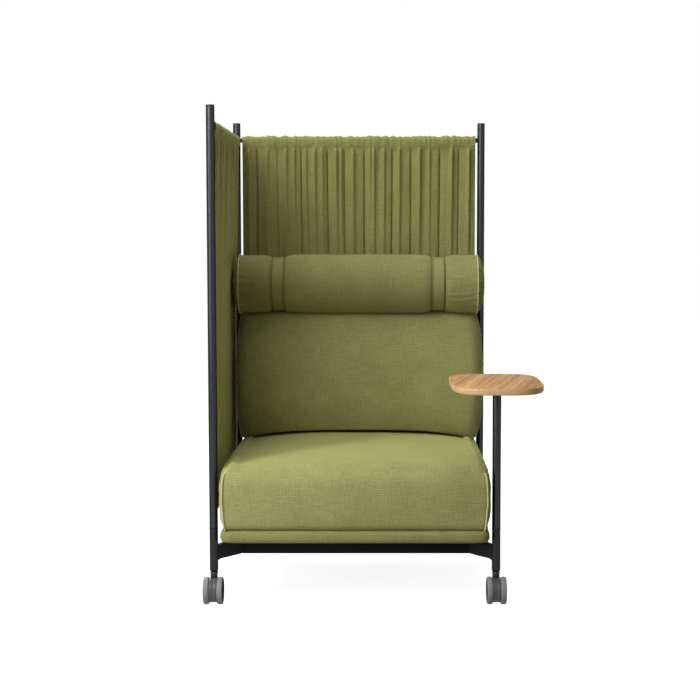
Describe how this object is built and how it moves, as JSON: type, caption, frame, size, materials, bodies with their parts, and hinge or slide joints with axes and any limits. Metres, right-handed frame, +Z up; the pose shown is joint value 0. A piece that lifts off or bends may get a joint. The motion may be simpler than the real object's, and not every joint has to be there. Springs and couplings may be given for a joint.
{
  "type": "acoustic high back lounge chair",
  "caption": "Lounge chair on castors: corner posts carry gathered curtains behind and beside a cushioned seat with a neck roll; a short post carries a swivelling oak tablet.",
  "frame": {"origin": "on the floor, under the middle of the bounding box", "axes": "+Z up, +X to the right in the front view, +Y from the front of the seat to the back curtain"},
  "size_m": [0.9816, 1.03, 1.445],
  "materials": {
    "frame_paint": "fine satin black powder coat",
    "leg_paint": "fine satin black powder coat on a casting",
    "steel": "turned steel",
    "upholstery": "olive woven wool",
    "curtain": "olive woven curtain cloth",
    "oak": "light oak under matt lacquer",
    "tread": "grey tread",
    "castor_body": "dark grey moulding",
    "hub": "black moulding"
  },
  "bodies": {
    "frame": {"crossbar_front": "frame_paint", "crossbar_rear": "frame_paint", "side_rail_left": "frame_paint", "side_rail_right": "frame_paint", "back_panel": "upholstery", "back_rail_lower": "frame_paint", "back_rail_upper": "frame_paint", "base_board": "upholstery", "seat_cushion": "upholstery", "back_cushion": "upholstery", "neck_roll": "upholstery", "neck_strap_left": "upholstery", "neck_strap_right": "upholstery", "curtain_rod_back": "frame_paint", "curtain_back": "curtain", "curtain_rod_side": "frame_paint", "curtain_side": "curtain", "post_tablet": "frame_paint", "tablet_pivot": "steel", "leg_casting_front_left": "leg_paint", "castor_stem_front_left": "steel", "post_front_left": "frame_paint", "post_cap_front_left": "frame_paint", "leg_casting_front_right": "leg_paint", "castor_stem_front_right": "steel", "leg_casting_rear_left": "leg_paint", "castor_stem_rear_left": "steel", "post_rear_left": "frame_paint", "post_cap_rear_left": "frame_paint", "leg_casting_rear_right": "leg_paint", "castor_stem_rear_right": "steel", "post_rear_right": "frame_paint", "post_cap_rear_right": "frame_paint"},
    "tablet": {"tablet_top": "oak", "tablet_flange": "frame_paint"},
    "castor_front_left": {"castor_hood_front_left": "castor_body", "castor_axle_front_left": "steel"},
    "roller_front_left_left": {"wheel_front_left_left": "tread", "hub_cap_front_left_left": "hub"},
    "roller_front_left_right": {"wheel_front_left_right": "tread", "hub_cap_front_left_right": "hub"},
    "castor_front_right": {"castor_hood_front_right": "castor_body", "castor_axle_front_right": "steel"},
    "roller_front_right_left": {"wheel_front_right_left": "tread", "hub_cap_front_right_left": "hub"},
    "roller_front_right_right": {"wheel_front_right_right": "tread", "hub_cap_front_right_right": "hub"},
    "castor_rear_left": {"castor_hood_rear_left": "castor_body", "castor_axle_rear_left": "steel"},
    "roller_rear_left_left": {"wheel_rear_left_left": "tread", "hub_cap_rear_left_left": "hub"},
    "roller_rear_left_right": {"wheel_rear_left_right": "tread", "hub_cap_rear_left_right": "hub"},
    "castor_rear_right": {"castor_hood_rear_right": "castor_body", "castor_axle_rear_right": "steel"},
    "roller_rear_right_left": {"wheel_rear_right_left": "tread", "hub_cap_rear_right_left": "hub"},
    "roller_rear_right_right": {"wheel_rear_right_right": "tread", "hub_cap_rear_right_right": "hub"}
  },
  "joints": [
    {"name": "tablet_swivel", "type": "hinge", "parent": "frame", "child": "tablet", "pos_m": [0.36225, -0.303, 0.617], "axis": [0, 0, 1], "continuous": true},
    {"name": "castor_swivel_front_left", "type": "hinge", "parent": "frame", "child": "castor_front_left", "pos_m": [-0.46275, -0.303, 0.08], "axis": [0, 0, 1], "continuous": true},
    {"name": "wheel_roll_front_left_left", "type": "hinge", "parent": "castor_front_left", "child": "roller_front_left_left", "pos_m": [-0.48275, -0.325, 0.04], "axis": [1, 0, 0], "continuous": true},
    {"name": "wheel_roll_front_left_right", "type": "hinge", "parent": "castor_front_left", "child": "roller_front_left_right", "pos_m": [-0.44275, -0.325, 0.04], "axis": [1, 0, 0], "continuous": true},
    {"name": "castor_swivel_front_right", "type": "hinge", "parent": "frame", "child": "castor_front_right", "pos_m": [0.36225, -0.303, 0.08], "axis": [0, 0, 1], "continuous": true},
    {"name": "wheel_roll_front_right_left", "type": "hinge", "parent": "castor_front_right", "child": "roller_front_right_left", "pos_m": [0.34225, -0.325, 0.04], "axis": [1, 0, 0], "continuous": true},
    {"name": "wheel_roll_front_right_right", "type": "hinge", "parent": "castor_front_right", "child": "roller_front_right_right", "pos_m": [0.38225, -0.325, 0.04], "axis": [1, 0, 0], "continuous": true},
    {"name": "castor_swivel_rear_left", "type": "hinge", "parent": "frame", "child": "castor_rear_left", "pos_m": [-0.46275, 0.497, 0.08], "axis": [0, 0, 1], "continuous": true},
    {"name": "wheel_roll_rear_left_left", "type": "hinge", "parent": "castor_rear_left", "child": "roller_rear_left_left", "pos_m": [-0.48275, 0.475, 0.04], "axis": [1, 0, 0], "continuous": true},
    {"name": "wheel_roll_rear_left_right", "type": "hinge", "parent": "castor_rear_left", "child": "roller_rear_left_right", "pos_m": [-0.44275, 0.475, 0.04], "axis": [1, 0, 0], "continuous": true},
    {"name": "castor_swivel_rear_right", "type": "hinge", "parent": "frame", "child": "castor_rear_right", "pos_m": [0.36225, 0.497, 0.08], "axis": [0, 0, 1], "continuous": true},
    {"name": "wheel_roll_rear_right_left", "type": "hinge", "parent": "castor_rear_right", "child": "roller_rear_right_left", "pos_m": [0.34225, 0.475, 0.04], "axis": [1, 0, 0], "continuous": true},
    {"name": "wheel_roll_rear_right_right", "type": "hinge", "parent": "castor_rear_right", "child": "roller_rear_right_right", "pos_m": [0.38225, 0.475, 0.04], "axis": [1, 0, 0], "continuous": true}
  ]
}
